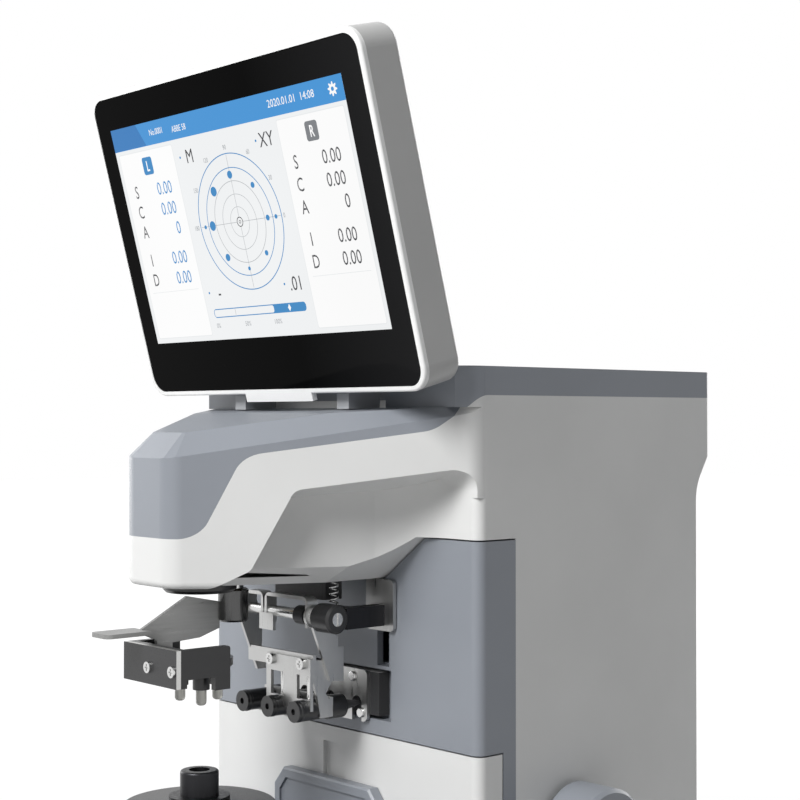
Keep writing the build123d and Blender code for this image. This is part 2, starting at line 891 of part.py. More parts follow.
# Lens holder: black frame with three pin bosses round the light hole
tip_places = [
    (tip_circle * math.cos(math.radians(angle)), optical_y + tip_circle * math.sin(math.radians(angle)))
    for angle in (90, 210, 330)
]
frame_back = holder_front + plate_depth
with BuildPart() as holder_frame:
    block((-holder_half, holder_half), (frame_back, holder_rear), (holder_low, holder_top))
    rear_edges = holder_frame.edges().filter_by(Axis.X).filter_by(lambda e: e.center().Y > holder_rear - 1)
    fillet(rear_edges.sort_by(Axis.Z)[-1], 1.2)
    block(
        (-holder_half + holder_wall, holder_half - holder_wall),
        (frame_back + holder_wall, holder_rear + 1),
        (holder_low - 1, holder_top + 1),
        Mode.SUBTRACT,
    )
    block(
        (-holder_half, holder_half),
        (frame_back, frame_back + holder_wall),
        (front_wall_low, holder_top),
    )
    for side in (-1, 1):
        post = sorted((side * holder_half, side * (holder_half - holder_wall)))
        block(post, (holder_rear - rear_post_depth, holder_rear), (boss_low + 1.0, holder_low + 1))
    block((-holder_half + 1, holder_half - 1), (frame_back + 1, optical_y), (bridge_low, bridge_high))
    rod_up(0, optical_y, (bridge_low, bridge_high), bridge_radius)
    for x, y in tip_places:
        rod_up(x, y, (boss_low, bridge_high), boss_radius)
    rod_up(0, optical_y, (boss_low - 1, bridge_high + 1), light_hole, Mode.SUBTRACT)
finish(holder_frame, "holder_frame")

with BuildPart() as holder_tips:
    for x, y in tip_places:
        rod_up(x, y, (tip_low, boss_low), tip_radius)
    fillet(holder_tips.faces().group_by(Axis.Z)[0].edges(), 1.4)
finish(holder_tips, "holder_tips")

with BuildPart() as holder_front_plate:
    block(
        (-holder_half + 0.1, holder_half - 0.1),
        (holder_front, frame_back),
        (front_wall_low, holder_top),
    )
finish(holder_front_plate, "holder_front_plate")


def cross_screw(x, y, z, radius, depth):
    """A round-headed screw on a front face, with a cross recess."""
    rod_back(x, (y - depth, y), z, radius)
    for size in ((radius * 1.2, radius * 0.3), (radius * 0.3, radius * 1.2)):
        across = (x - size[0] / 2, x + size[0] / 2)
        up = (z - size[1] / 2, z + size[1] / 2)
        block(across, (y - depth - 1, y - depth + 0.5), up, Mode.SUBTRACT)


with BuildPart() as holder_screws:
    for x in holder_screw_places:
        cross_screw(x, holder_front, holder_screw_z, 2.1, 1.0)
finish(holder_screws, "holder_screws")

with BuildPart() as holder_barrel:
    rod_up(plunger_x, plunger_y, (barrel_low, barrel_high), barrel_radius)
    chamfer(holder_barrel.edges().filter_by(GeomType.CIRCLE), 0.8)
    rod_up(plunger_x, plunger_y, (barrel_low - 1, barrel_high + 1), plunger_radius, Mode.SUBTRACT)
finish(holder_barrel, "holder_barrel")

with BuildPart() as holder_plunger:
    rod_up(plunger_x, plunger_y, (barrel_low, plunger_top), plunger_radius)
    chamfer(holder_plunger.faces().sort_by(Axis.Z)[-1].edges(), 0.6)
finish(holder_plunger, "holder_plunger")

# Bushes in the housing: one upright for the holder's plunger, two for the table shaft
with BuildPart() as guide_bushes:
    rod_up(plunger_x, plunger_y, (head_bottom, bush_top), bush_radius)
    rod_up(
        plunger_x,
        plunger_y,
        (head_bottom - 1, bush_top + 1),
        plunger_radius + running_gap,
        Mode.SUBTRACT,
    )
    for side in (-1, 1):
        ends = sorted((side * (inner_half - 6.0), side * half))
        rod_across(ends, knob_y, knob_z, shaft_bush_radius)
        bore = sorted((side * (inner_half - 7.0), side * (half + 1)))
        rod_across(bore, knob_y, knob_z, table_shaft_radius + running_gap, Mode.SUBTRACT)
finish(guide_bushes, "guide_bushes")

arm_profile = [
    (-99.5, 197.1),
    (-77.2, 209.1),
    (-62.1, 206.0),
    (-54.0, 202.0),
    (-54.0, 200.0),
    (-62.1, 195.8),
    (-71.5, 192.8),
    (-84.0, 192.0),
    (-84.0, bridge_high),
    (-91.0, bridge_high),
    (-91.0, 193.5),
]
arm_right = holder_arm_x + holder_arm_thickness
with BuildPart() as holder_arm:
    side_slab(arm_profile, (holder_arm_x, arm_right))
    rod_up(plunger_x, plunger_y, (barrel_low - 10, barrel_high + 10), barrel_radius, Mode.SUBTRACT)
    strip = holder_arm.solids().sort_by(Axis.Y)[0]
with BuildPart() as holder_tab:
    block((tab_left, tab_right), (tab_front, -97.0), (196.4, 198.0))
    tab_corners = holder_tab.edges().filter_by(Axis.Z).filter_by(lambda e: e.center().Y < tab_front + 1)
    fillet(tab_corners, 2.5)
    add(strip, mode=Mode.SUBTRACT)
with BuildPart() as holder_arm_strip:
    add(strip)
    add(holder_tab.part)
finish(holder_arm_strip, "holder_arm")

# Marking unit: cross shaft, hanging frame, strap hoops, pens, end knob and carriage
with BuildPart() as marker_shaft:
    rod_across((shaft_left, knob_left), shaft_y, shaft_z, shaft_radius)
    rod_across((plate_right, knob_left), shaft_y, shaft_z, shaft_radius + 1.2)
finish(marker_shaft, "marker_shaft")

with BuildPart() as marker_knob:
    rod_across((knob_left, knob_right), shaft_y, shaft_z, knob_radius)
    chamfer(marker_knob.edges().filter_by(GeomType.CIRCLE), 0.9)
    rod_across((knob_right - 1.2, knob_right + 1), shaft_y, shaft_z, 2.6, Mode.SUBTRACT)
finish(marker_knob, "marker_end_knob")

left_profile = [
    (shaft_y - 4.5, shaft_z),
    (shaft_y - 4.5, shaft_z - 4.0),
    (-36.0, 175.9),
    (-31.9, 175.8),
    (-31.9, 183.8),
    (-34.0, 185.2),
    (-33.8, 191.7),
    (shaft_y + 4.0, shaft_z),
]
right_profile = [
    (shaft_y - 4.0, shaft_z),
    (-40.8, 197.0),
    (-32.2, 175.7),
    (-25.6, 175.0),
    (-25.6, 188.4),
    (-28.4, 188.6),
    (-28.4, 192.6),
    (-34.2, 195.4),
    (shaft_y + 4.0, shaft_z),
]
flange_profile = [
    (cross_front, cross_top),
    (cross_front, 179.6),
    (-37.5, 169.7),
    (-36.0, pen_z - 3.0),
    (strip_back, pen_z - 3.0),
    (strip_back, pen_z + 1.5),
    (-33.4, 170.7),
    (-30.4, 175.2),
    (-30.4, 183.0),
]
left_plate = (plate_left, plate_left + sheet)
right_plate = (plate_right - sheet, plate_right)
pen_places = [-pen_pitch, 0.0, pen_pitch]
with BuildPart() as marker_frame:
    side_slab(left_profile, left_plate)
    side_slab(right_profile, right_plate)
    for ear in (left_plate, right_plate):
        rod_across(ear, shaft_y, shaft_z, 4.4)
    flange = (plate_right - 2 * sheet, plate_right - sheet)
    side_slab(flange_profile, flange)
    block((cross_left, flange[1]), (cross_front, cross_front + sheet), (pen_z, cross_top))
    block((plate_left, flange[1]), (cross_front + sheet, cross_front + 2 * sheet), web_z)
    block((plate_left, flange[1]), (strip_front, strip_back), (pen_z - 3.0, pen_z + 4.5))
    for x in pen_places:
        rod_back(x, (pen_front - 1, strip_front), pen_z, pen_radius, Mode.SUBTRACT)
        rod_back(x, (strip_front - 2, strip_back + 1), pen_z, pen_neck_radius, Mode.SUBTRACT)
        slot = (x - slot_half, x + slot_half)
        block(slot, (cross_front - 1, cross_front + sheet), (slot_low, slot_high), Mode.SUBTRACT)
    rod_across((shaft_left - 5, plate_right + 1), shaft_y, shaft_z, shaft_radius, Mode.SUBTRACT)
finish(marker_frame, "marker_frame")


def hoop(x, top, low):
    """A strap hoop over the shaft: an upturned U of thin strip."""
    with BuildSketch(Plane.XZ.offset(-shaft_y - hoop_depth / 2)) as face:
        with Locations(((x[0] + x[1]) / 2, (top + low) / 2)):
            Rectangle(x[1] - x[0], top - low)
        fillet(face.vertices().group_by(Axis.Y)[-1], 3.0)
        with Locations(((x[0] + x[1]) / 2, (top + low) / 2 - sheet)):
            Rectangle(x[1] - x[0] - 2 * sheet, top - low, mode=Mode.SUBTRACT)
    extrude(face.sketch, amount=hoop_depth)


with BuildPart() as marker_hoops:
    hoop((plate_left + sheet, hoop_split), hoop_top, shaft_z - 4.5)
    hoop((hoop_split + 1.0, plate_right - sheet), hoop_top, shaft_z - 4.5)
    clip_front = shaft_y - hoop_depth / 2 - sheet / 2
    block(clip_x, (clip_front, clip_front + sheet), clip_z)
    rod_across((plate_left - 1, plate_right + 1), shaft_y, shaft_z, shaft_radius, Mode.SUBTRACT)
finish(marker_hoops, "marker_hoops")

with BuildPart() as marker_pens:
    for x in pen_places:
        rod_back(x, (pen_front, strip_front), pen_z, pen_radius)
        rod_back(x, (strip_front, strip_back), pen_z, pen_neck_radius)
        rod_back(x, (strip_back, flange_rear), pen_z, pen_radius + 0.55)
        rod_back(x, (pen_front - 1, pen_front + 3), pen_z, 1.2, Mode.SUBTRACT)
finish(marker_pens, "marker_pens")

nib_length = nib_tip_y - flange_rear
with BuildPart() as pen_nibs:
    for x in pen_places:
        with Locations((x, flange_rear + nib_length / 2, pen_z)):
            Cone(2.6, 0.8, nib_length, rotation=(-90, 0, 0))
finish(pen_nibs, "pen_nibs")

with BuildPart() as marker_screws:
    rod_across((knob_right - 1.2, knob_right - 0.2), shaft_y, shaft_z, 2.6)
    block(
        (knob_right - 0.7, knob_right),
        (shaft_y - 0.4, shaft_y + 0.4),
        (shaft_z - 3, shaft_z + 3),
        Mode.SUBTRACT,
    )
    for x, z in marker_screw_places:
        cross_screw(x, cross_front, z, 2.2, 1.3)
finish(marker_screws, "marker_screws")

# Carriage that lifts the marking unit, on a guide rod inside the column
with BuildPart() as marker_carriage:
    rod_across((eye_left, eye_right), shaft_y, shaft_z, eye_radius)
    block((eye_left, eye_right), (shaft_y, bar_rear), (shaft_z - 3.2, carriage_top))
    block((eye_left, lift_guide_x + bar_half), (bar_front, bar_rear), (carriage_low, carriage_top))
    block(
        (lift_guide_x - bar_half, lift_guide_x + bar_half),
        (bar_front, lift_guide_y),
        (carriage_low, carriage_top),
    )
    rod_up(lift_guide_x, lift_guide_y, (carriage_low - 6, carriage_top + 8), lift_guide_radius + 3.5)
    rod_up(
        lift_guide_x,
        lift_guide_y,
        (carriage_low - 7, carriage_top + 9),
        lift_guide_radius + running_gap,
        Mode.SUBTRACT,
    )
    rod_across(
        (eye_left - 1, eye_right + 1),
        shaft_y,
        shaft_z,
        shaft_radius + running_gap,
        Mode.SUBTRACT,
    )
finish(marker_carriage, "marker_carriage")

with BuildPart() as marker_slide_plate:
    block(slide_x, (column_front - slide_gap - slide_thickness, column_front - slide_gap), slide_z)
    fillet(marker_slide_plate.edges().filter_by(Axis.Y), 2.0)
    add(marker_carriage.part, mode=Mode.SUBTRACT)
finish(marker_slide_plate, "marker_slide_plate")

with BuildPart() as marker_guide_rod:
    rod_up(lift_guide_x, lift_guide_y, (guide_low, guide_high), lift_guide_radius)
    for z in (guide_low, guide_high - 4.0):
        block((lift_guide_x - 5, lift_guide_x + 5), (lift_guide_y - 5, spine_front), (z, z + 4.0))
finish(marker_guide_rod, "marker_guide_rod")

with BuildPart() as marker_block:
    block(guard_x, guard_y, (guard_low, head_bottom))
    chamfer(marker_block.edges().filter_by(Axis.Z), 1.0)
finish(marker_block, "marker_block")


def spring_path(x, y, z, radius, turns):
    """A rising coil as a chain of arcs, two for each quarter turn."""
    height = z[1] - z[0]
    rise = height / (turns * 4)
    slope = height / (turns * 2 * math.pi * radius)
    for step in range(turns * 4):
        ends = []
        for k in (step, step + 1):
            angle = math.radians(90 * k)
            point = Vector(x + radius * math.cos(angle), y + radius * math.sin(angle), z[0] + rise * k)
            along = Vector(-math.sin(angle), math.cos(angle), slope).normalized()
            ends.append((point, along))
        (start, leave), (stop, reach) = ends
        gap = stop - start
        both = leave + reach
        bend = 2 * (1 - leave.dot(reach))
        span = (-gap.dot(both) + math.sqrt(gap.dot(both) ** 2 + bend * gap.dot(gap))) / bend
        middle = (start + stop + (leave - reach) * span) * 0.5
        chord = (middle - start).normalized()
        through = chord * (2 * leave.dot(chord)) - leave
        TangentArc(start, middle, tangent=leave)
        TangentArc(middle, stop, tangent=through)


wire_radius = spring_wire / 2
spring_z = (carriage_top + wire_radius + spring_seat, head_bottom - wire_radius - spring_seat)
with BuildPart() as marker_spring:
    with BuildLine() as coil:
        spring_path(spring_x, spring_y, spring_z, spring_radius, spring_turns)
    with BuildSketch(Plane(origin=coil.line @ 0, z_dir=coil.line % 0)) as section:
        Circle(wire_radius)
    sweep(section.sketch, path=coil.wire())
coil_points = [coil.wire() @ (k / (spring_turns * 24)) for k in range(spring_turns * 24 + 1)]
least_gap = min(
    (a - b).length for i, a in enumerate(coil_points) for j, b in enumerate(coil_points) if j - i > 12
)
print("least gap between the spring's turns", round(least_gap - spring_wire, 2), "mm")
finish(marker_spring, "marker_spring")

# Ink pad and its cover plate
with BuildPart() as ink_pad:
    block((-pad_half, pad_half), (column_front - 0.5, pocket_back), (pad_low, pad_high))
finish(ink_pad, "ink_pad")

with BuildPart() as ink_plate:
    block(
        (-ink_plate_half, ink_plate_half),
        (column_front - 2.0, column_front - 0.5),
        (ink_plate_low, ink_plate_high),
    )
    fillet(ink_plate.edges().filter_by(Axis.Y), 2.5)
    for x in pen_places:
        rod_back(x, (column_front - 3, column_front), pen_z, nib_hole, Mode.SUBTRACT)
        hole = (x - nib_hole, x + nib_hole)
        block(hole, (column_front - 3, column_front), (ink_plate_low - 1, pen_z), Mode.SUBTRACT)
finish(ink_plate, "ink_plate")

# Lens table, its carriage with a rack, guide, pinion shaft, bushes and knobs
table_low = stage_deck_z + 2.0
table_outline = [
    (-table_half, table_low),
    (table_half, table_low),
    (table_half, table_top - table_chamfer),
    (table_half_top, table_top),
    (-table_half_top, table_top),
    (-table_half, table_top - table_chamfer),
]
table_back = table_front + table_thickness
groove_outline = [
    (-table_half + groove_inset, table_low + groove_inset),
    (table_half - groove_inset, table_low + groove_inset),
    (table_half - groove_inset, table_top - table_chamfer - 2.0),
    (table_half_top - 2.0, table_top - groove_inset),
    (-table_half_top + 2.0, table_top - groove_inset),
    (-table_half + groove_inset, table_top - table_chamfer - 2.0),
]
with BuildPart() as lens_table:
    front_slab(table_outline, (table_front, table_back))
    chamfer(lens_table.faces().sort_by(Axis.Y)[0].edges(), 0.8)
    front_slab(groove_outline, (table_front - 1, table_front + 1.0), mode=Mode.SUBTRACT)
finish(lens_table, "lens_table")

pitch_radius = gear_module * gear_teeth / 2
rack_pitch_z = knob_z - pitch_radius
tooth_pitch = math.pi * gear_module
rack_root = rack_pitch_z - 1.2 * gear_module
rack_tip = rack_pitch_z + 0.9 * gear_module
tooth_half = tooth_pitch / 4 - backlash / 2
flank = 0.35 * gear_module
with BuildPart() as table_carriage:
    block((-arm_half, arm_half), (table_back, arm_end), (table_low, arm_top))
    block((-arm_half, arm_half), (rack_start, arm_end), (rack_low, arm_top))
    block((-arm_half, arm_half), (rack_start, rack_end), (rack_low, rack_root))
    for count in range(rack_teeth):
        centre = knob_y + (count - 0.5 - rack_lead) * tooth_pitch
        tooth = [
            (centre - tooth_half - flank, rack_root - 0.1),
            (centre - tooth_half + flank, rack_tip),
            (centre + tooth_half - flank, rack_tip),
            (centre + tooth_half + flank, rack_root - 0.1),
        ]
        side_slab(tooth, (-arm_half, arm_half))
finish(table_carriage, "table_carriage")

with BuildPart() as table_guide:
    block((-guide_half, guide_half), (guide_start, guide_end), (base_top, guide_top))
    block(
        (-arm_half - running_gap, arm_half + running_gap),
        (guide_start - 1, guide_end + 1),
        (rack_low - running_gap, guide_top + 1),
        Mode.SUBTRACT,
    )
    block(
        (-guide_half + wall, guide_half - wall),
        (guide_start - 1, guide_end + 1),
        (base_top + wall, rack_low - 2 * wall),
        Mode.SUBTRACT,
    )
finish(table_guide, "table_guide")

with BuildPart() as pinion_shaft:
    rod_across((-knob_outer + 3.0, knob_outer - 3.0), knob_y, knob_z, table_shaft_radius)
    with BuildSketch(Plane.YZ.offset(-gear_half)) as gear_face:
        with Locations((knob_y, knob_z)):
            Circle(pitch_radius - 1.25 * gear_module)
        for count in range(gear_teeth):
            turn = math.radians(-90 + 360 / gear_teeth * count)
            points = []
            for radius, spread in (
                (pitch_radius - 1.3 * gear_module, tooth_half + flank),
                (pitch_radius, tooth_half),
                (pitch_radius + 0.85 * gear_module, tooth_half - 1.3 * flank),
            ):
                points.append((radius, spread))
            outline = [(r, -s) for r, s in points] + [(r, s) for r, s in reversed(points)]
            corners = [
                (
                    knob_y + r * math.cos(turn) - s * math.sin(turn),
                    knob_z + r * math.sin(turn) + s * math.cos(turn),
                )
                for r, s in outline
            ]
            with BuildLine():
                Polyline(*corners, close=True)
            make_face()
    extrude(gear_face.sketch, amount=2 * gear_half)
finish(pinion_shaft, "pinion_shaft")

with BuildPart() as table_knobs:
    for side in (-1, 1):
        ends = sorted((side * (knob_outer - table_knob_depth), side * knob_outer))
        rod_across(ends, knob_y, knob_z, table_knob_radius)
    chamfer(table_knobs.edges().filter_by(GeomType.CIRCLE), 1.4)
    for side in (-1, 1):
        ends = sorted((side * (knob_outer - table_knob_depth - 1), side * (knob_outer - 3.0)))
        rod_across(ends, knob_y, knob_z, table_shaft_radius, Mode.SUBTRACT)
finish(table_knobs, "table_knobs")

# Rear panel with the inlet, the switch and the data sockets
rear_face = column_rear
with BuildPart() as rear_panel:
    block(
        (-rear_panel_half, rear_panel_half),
        (rear_face - wall, rear_face),
        (rear_panel_low, rear_panel_high),
    )
    block(
        (inlet_x - 14, inlet_x + 14),
        (rear_face - 5, rear_face + 1),
        (socket_z - 10, socket_z + 10),
        Mode.SUBTRACT,
    )
    block(
        (switch_x - 8, switch_x + 8),
        (rear_face - 5, rear_face + 1),
        (socket_z - 12, socket_z + 12),
        Mode.SUBTRACT,
    )
    for x in port_places:
        block(
            (x - port_half, x + port_half),
            (rear_face - 5, rear_face + 1),
            (socket_z - 5, socket_z + 5),
            Mode.SUBTRACT,
        )
finish(rear_panel, "rear_panel")

inlet_x_range = (inlet_x - 14, inlet_x + 14)
with BuildPart() as power_inlet:
    block(inlet_x_range, (rear_face - 24, rear_face), (socket_z - 10, socket_z + 10))
    block((inlet_x - 16, inlet_x + 16), (rear_face, rear_face + 2), (socket_z - 12, socket_z + 12))
    block(
        (inlet_x - 12, inlet_x + 12),
        (rear_face - 16, rear_face + 3),
        (socket_z - 8, socket_z + 8),
        Mode.SUBTRACT,
    )
    for x, z in ((-7, 1.5), (0, -2.5), (7, 1.5)):
        pin_x = (inlet_x + x - 1, inlet_x + x + 1)
        block(pin_x, (rear_face - 16, rear_face - 4), (socket_z + z - 2, socket_z + z + 2))
finish(power_inlet, "power_inlet")

with BuildPart() as switch_frame:
    block((switch_x - 8, switch_x + 8), (rear_face - 16, rear_face), (socket_z - 12, socket_z + 12))
    block((switch_x - 10, switch_x + 10), (rear_face, rear_face + 2), (socket_z - 14, socket_z + 14))
    block(
        (switch_x - 6, switch_x + 6),
        (rear_face - 14, rear_face + 3),
        (socket_z - 10, socket_z + 10),
        Mode.SUBTRACT,
    )
    rod_across(
        (switch_x - 7.5, switch_x + 7.5),
        switch_pivot_y,
        socket_z,
        1.5 + running_gap,
        Mode.SUBTRACT,
    )
finish(switch_frame, "switch_frame")

rocker_outline = [
    (switch_pivot_y - 3.5, socket_z - 6.5),
    (switch_pivot_y + 5.5, socket_z - 7.0),
    (switch_pivot_y + 5.4, socket_z),
    (switch_pivot_y + 7.4, socket_z + 5.5),
    (switch_pivot_y + 4.5, socket_z + 8.0),
    (switch_pivot_y - 3.5, socket_z + 7.5),
]
with BuildPart() as power_switch:
    side_slab(rocker_outline, (switch_x - 5.7, switch_x + 5.7))
    rod_across((switch_x - 7.3, switch_x + 7.3), switch_pivot_y, socket_z, 1.5)
finish(power_switch, "power_switch")

with BuildPart() as data_ports:
    for x in port_places:
        block((x - port_half, x + port_half), (rear_face - 14, rear_face), (socket_z - 5, socket_z + 5))
        mouth = (x - port_half + 1, x + port_half - 1)
        block(mouth, (rear_face - 10, rear_face + 1), (socket_z - 4, socket_z + 4), Mode.SUBTRACT)
        block(
            (x - port_half + 3, x + port_half - 3),
            (rear_face - 10, rear_face - 2),
            (socket_z - 1, socket_z + 1),
        )
finish(data_ports, "data_ports")

# Chassis plate, main board and power supply
with BuildPart() as chassis_plate:
    block((-inner_half, inner_half), (spine_front, spine_front + 2), (base_top, spine_top))
    block((-inner_half, inner_half), (spine_front + 2, spine_front + 14), (base_top, base_top + 2))
    guide_room = (-guide_half - 1, guide_half + 1)
    block(guide_room, (spine_front - 1, spine_front + 15), (base_top - 1, guide_top + 10), Mode.SUBTRACT)
finish(chassis_plate, "chassis_plate")

main_board_y = (spine_front + 8, spine_front + 9.6)
board_half = 58.0
board_z = (140.0, 230.0)
with BuildPart() as main_board:
    block((-board_half, board_half), main_board_y, board_z)
    block((-16, 16), (main_board_y[1], main_board_y[1] + 2.4), (176, 208))
    block((26, 48), (main_board_y[1], main_board_y[1] + 1.9), (150, 164))
    block((-50, -30), (main_board_y[1], main_board_y[1] + 6.4), (146, 156))
    for x in (-board_half + 4, board_half - 4):
        for z in (board_z[0] + 4, board_z[1] - 4):
            rod_back(x, (spine_front + 2, main_board_y[0]), z, 3.0)
finish(main_board, "main_board")

with BuildPart() as power_supply:
    block((-74, -20), (spine_front + 16, spine_front + 42), (base_top, base_top + 60))
    chamfer(power_supply.edges().filter_by(Axis.Z), 1.0)
finish(power_supply, "power_supply")
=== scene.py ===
import json
import math

import bmesh
import bpy
from mathutils import Matrix, Vector


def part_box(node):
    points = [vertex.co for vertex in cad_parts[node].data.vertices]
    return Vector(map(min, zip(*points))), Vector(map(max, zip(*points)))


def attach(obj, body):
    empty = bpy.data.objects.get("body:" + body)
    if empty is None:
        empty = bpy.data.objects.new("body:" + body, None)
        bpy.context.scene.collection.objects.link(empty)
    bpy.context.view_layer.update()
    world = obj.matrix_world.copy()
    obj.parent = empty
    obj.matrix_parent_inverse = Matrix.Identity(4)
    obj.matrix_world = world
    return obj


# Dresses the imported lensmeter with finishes, a screen picture, small trim, a studio and a camera
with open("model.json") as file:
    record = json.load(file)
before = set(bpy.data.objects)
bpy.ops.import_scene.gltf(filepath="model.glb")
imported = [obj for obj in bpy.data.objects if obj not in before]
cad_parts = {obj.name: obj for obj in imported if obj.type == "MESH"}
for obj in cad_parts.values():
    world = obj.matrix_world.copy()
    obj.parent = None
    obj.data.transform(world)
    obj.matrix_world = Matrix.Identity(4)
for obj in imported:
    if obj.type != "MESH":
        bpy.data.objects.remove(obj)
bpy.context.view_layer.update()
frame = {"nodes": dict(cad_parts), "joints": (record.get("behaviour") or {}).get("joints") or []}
nodes = frame["nodes"]
joints = {joint["name"]: joint for joint in frame["joints"]}
MM = 0.001
FULL_TURN = 2 * math.pi

# Materials: noise scales per metre, relief depths in metres, and grain directions
PATTERN_LOW = 0.3
PATTERN_HIGH = 0.7
DRIFT_SCALE = 22.0
SMEAR_SCALE = 35.0
GLOW_SCALE = 14.0
LINES_SCALE = 900.0
PAINT_SCALE = 2400.0
TRACKS_SCALE = 260.0
GRAIN_DEPTH = 0.00004
LINES_DEPTH = 0.00002
TRACKS_DEPTH = 0.00005
ALONG_X = (0.06, 1.0, 1.0)
ALONG_Y = (1.0, 0.06, 1.0)
ALONG_Z = (1.0, 1.0, 0.06)


def new_material(name):
    """An empty node material, with its tree, shader and object coordinates."""
    made = bpy.data.materials.new(name)
    made.use_nodes = True
    tree = made.node_tree
    shader = tree.nodes["Principled BSDF"]
    place = tree.nodes.new("ShaderNodeTexCoord")
    return made, tree, shader, place.outputs["Object"]


def noise(tree, place, scale, detail=3.0, stretch=(1, 1, 1)):
    """A noise pattern's output, at a scale per metre."""
    mapping = tree.nodes.new("ShaderNodeMapping")
    mapping.inputs["Scale"].default_value = stretch
    tree.links.new(place, mapping.inputs["Vector"])
    pattern = tree.nodes.new("ShaderNodeTexNoise")
    pattern.inputs["Scale"].default_value = scale
    pattern.inputs["Detail"].default_value = detail
    tree.links.new(mapping.outputs["Vector"], pattern.inputs["Vector"])
    return pattern.outputs["Fac"]


def remapped(tree, source, start, end, low, high):
    """A source whose range start to end becomes the range low to high."""
    node = tree.nodes.new("ShaderNodeMapRange")
    node.inputs["From Min"].default_value = start
    node.inputs["From Max"].default_value = end
    node.inputs["To Min"].default_value = low
    node.inputs["To Max"].default_value = high
    tree.links.new(source, node.inputs["Value"])
    return node.outputs["Result"]


def spread(tree, source, low, high):
    """A pattern's middle range mapped to the range low to high."""
    return remapped(tree, source, PATTERN_LOW, PATTERN_HIGH, low, high)


def ramp(tree, source, first, last, start=0.0, end=1.0):
    """A colour that runs from the first to the last as a source goes from start to end."""
    node = tree.nodes.new("ShaderNodeValToRGB")
    steps = node.color_ramp.elements
    steps[0].position = start
    steps[1].position = end
    steps[0].color = (*first, 1)
    steps[1].color = (*last, 1)
    tree.links.new(source, node.inputs["Fac"])
    return node.outputs["Color"]


def tint(tree, source, dark, light):
    """A colour that runs from dark to light over a pattern's middle range."""
    return ramp(tree, source, dark, light, PATTERN_LOW, PATTERN_HIGH)


def bump(tree, source, shader, strength, depth):
    """Relief from a pattern, with its depth in metres."""
    node = tree.nodes.new("ShaderNodeBump")
    node.inputs["Strength"].default_value = strength
    node.inputs["Distance"].default_value = depth
    tree.links.new(source, node.inputs["Height"])
    tree.links.new(node.outputs["Normal"], shader.inputs["Normal"])


def scaled(colour, factor):
    """A colour made darker or lighter, with no channel above 1."""
    return tuple(min(1.0, channel * factor) for channel in colour)


def moulded(name, colour, rough, grain=3200.0, relief=0.25, drift=0.03, coat=0.0, sheen=0.0):
    """Moulded plastic or paint: a slow drift of tone over a fine grain."""
    made, tree, shader, place = new_material(name)
    slow = noise(tree, place, DRIFT_SCALE)
    tone = tint(tree, slow, scaled(colour, 1 - drift), scaled(colour, 1 + drift))
    tree.links.new(tone, shader.inputs["Base Color"])
    fine = noise(tree, place, grain, 2.0)
    tree.links.new(spread(tree, fine, rough - 0.04, rough + 0.05), shader.inputs["Roughness"])
    bump(tree, fine, shader, relief, GRAIN_DEPTH)
    shader.inputs["Coat Weight"].default_value = coat
    shader.inputs["Coat Roughness"].default_value = 0.12
    shader.inputs["Sheen Weight"].default_value = sheen
    return made


def metal(name, colour, rough, stretch, relief=0.2, contrast=0.88):
    """Metal with fine lines drawn out along the axis whose stretch is small."""
    made, tree, shader, place = new_material(name)
    lines = noise(tree, place, LINES_SCALE, 4.0, stretch)
    tree.links.new(tint(tree, lines, scaled(colour, contrast), colour), shader.inputs["Base Color"])
    tree.links.new(spread(tree, lines, rough - 0.07, rough + 0.09), shader.inputs["Roughness"])
    shader.inputs["Metallic"].default_value = 1.0
    bump(tree, lines, shader, relief, LINES_DEPTH)
    return made


def glassy(name, colour, rough, transmission, level):
    """Glass or clear plastic with faint smears in its gloss."""
    made, tree, shader, place = new_material(name)
    smear = noise(tree, place, SMEAR_SCALE)
    light = tuple(min(1.0, channel * 1.15 + 0.002) for channel in colour)
    tree.links.new(tint(tree, smear, colour, light), shader.inputs["Base Color"])
    tree.links.new(spread(tree, smear, rough * 0.8, rough * 1.3), shader.inputs["Roughness"])
    shader.inputs["Transmission Weight"].default_value = transmission
    shader.inputs["Specular IOR Level"].default_value = level
    return made


def screen_glass(name, start, end, left, right):
    """Black glass with a painted reflection: its colour lightens from the left level to the right level
    between two places along x, given in metres.
    """
    made, tree, shader, place = new_material(name)
    parts = tree.nodes.new("ShaderNodeSeparateXYZ")
    tree.links.new(place, parts.inputs["Vector"])
    # Painted reflection: a lamp's reflection in the glass is painted into its colour, dark at the start
    # along x and lighter, slightly bluer, at the end; the name depth below carries this painted
    # reflection.
    painted_reflection_fade = remapped(tree, parts.outputs["X"], start, end, 0.0, 1.0)
    depth = ramp(tree, painted_reflection_fade, (left, left, left), (right, right, right * 1.05))
    tree.links.new(depth, shader.inputs["Base Color"])
    smear = noise(tree, place, SMEAR_SCALE)
    tree.links.new(spread(tree, smear, 0.05, 0.09), shader.inputs["Roughness"])
    shader.inputs["Specular IOR Level"].default_value = 0.02
    return made


def two_faced(name, face_colour, side_colour):
    """Black paint on the faces that look along y, bare metal on the sides."""
    made, tree, shader, place = new_material(name)
    facing = tree.nodes.new("ShaderNodeTexCoord")
    parts = tree.nodes.new("ShaderNodeSeparateXYZ")
    tree.links.new(facing.outputs["Normal"], parts.inputs["Vector"])
    size = tree.nodes.new("ShaderNodeMath")
    size.operation = "ABSOLUTE"
    tree.links.new(parts.outputs["Y"], size.inputs[0])
    side = tree.nodes.new("ShaderNodeMath")
    side.operation = "LESS_THAN"
    side.inputs[1].default_value = 0.5
    tree.links.new(size.outputs[0], side.inputs[0])
    tree.links.new(ramp(tree, side.outputs[0], face_colour, side_colour), shader.inputs["Base Color"])
    tree.links.new(side.outputs[0], shader.inputs["Metallic"])
    fine = noise(tree, place, PAINT_SCALE, 2.0)
    tree.links.new(spread(tree, fine, 0.26, 0.38), shader.inputs["Roughness"])
    return made


